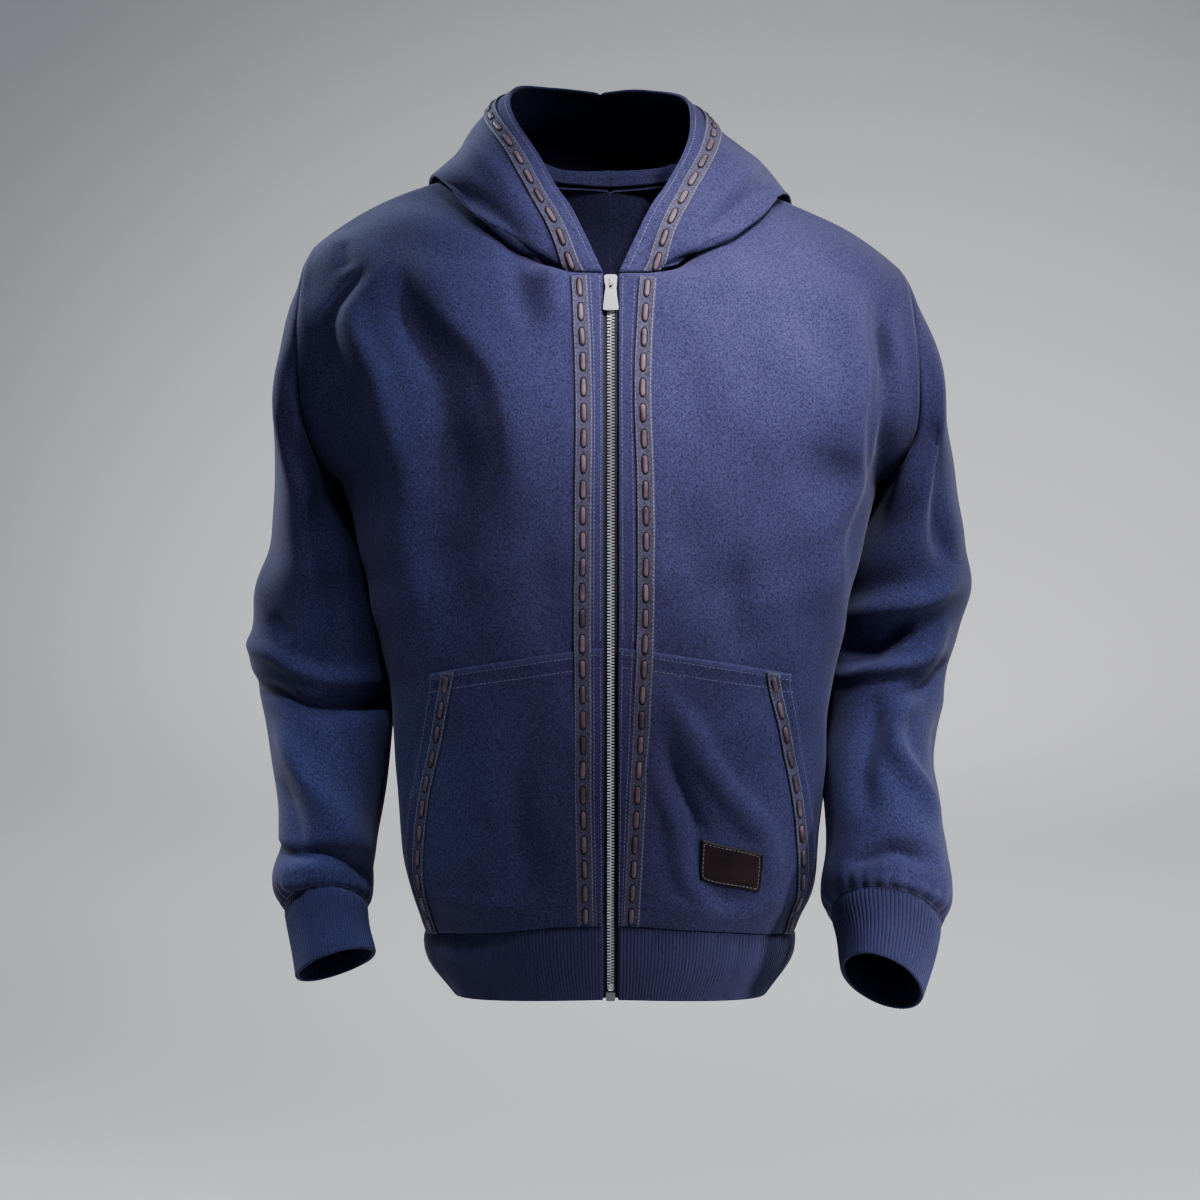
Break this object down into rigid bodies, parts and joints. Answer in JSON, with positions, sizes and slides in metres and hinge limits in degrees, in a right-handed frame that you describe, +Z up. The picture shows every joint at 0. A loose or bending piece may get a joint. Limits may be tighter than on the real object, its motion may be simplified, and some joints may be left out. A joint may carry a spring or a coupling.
{
  "type": "zip-up hoodie",
  "caption": "Long-sleeved fleece hooded jacket in worn form: front zip, lowered hood, ribbed hem and cuffs, slanted patch pockets and lace-run bands.",
  "frame": {"origin": "middle of the neck at the height where the shoulder line meets it, inside the neck opening", "axes": "+Z up, front faces -Y, the wearer's left is +X"},
  "size_m": [0.63, 0.3562, 0.8094],
  "materials": {
    "fleece": "brushed fleece, soft and matt",
    "rib": "rib knit, matt",
    "band": "flat woven band with a lace run through slots",
    "tape": "woven tape, matt",
    "metal": "satin, silver",
    "leather": "smooth, semi-matt"
  },
  "bodies": {
    "garment": {"back": "fleece", "cuff_left": "rib", "cuff_right": "rib", "front_left": "fleece", "front_right": "fleece", "front_trim_left": "band", "front_trim_right": "band", "hem_rib": "rib", "hood_left": "fleece", "hood_right": "fleece", "hood_trim_left": "band", "hood_trim_right": "band", "leather_patch": "leather", "pocket_left": "fleece", "pocket_right": "fleece", "pocket_trim_left": "band", "pocket_trim_right": "band", "sleeve_left": "fleece", "sleeve_right": "fleece", "zip_box": "metal", "zip_slider": "metal", "zip_tape_left": "tape", "zip_tape_right": "tape", "zip_teeth_left": "metal", "zip_teeth_right": "metal"},
    "pull_tab": {"zip_pull": "metal"}
  },
  "joints": [
    {"name": "pull_tab_hinge", "type": "hinge", "parent": "garment", "child": "pull_tab", "pos_m": [0, -0.0967, -0.0709], "axis": [-1, 0, 0], "range_deg": [0, 150]}
  ]
}
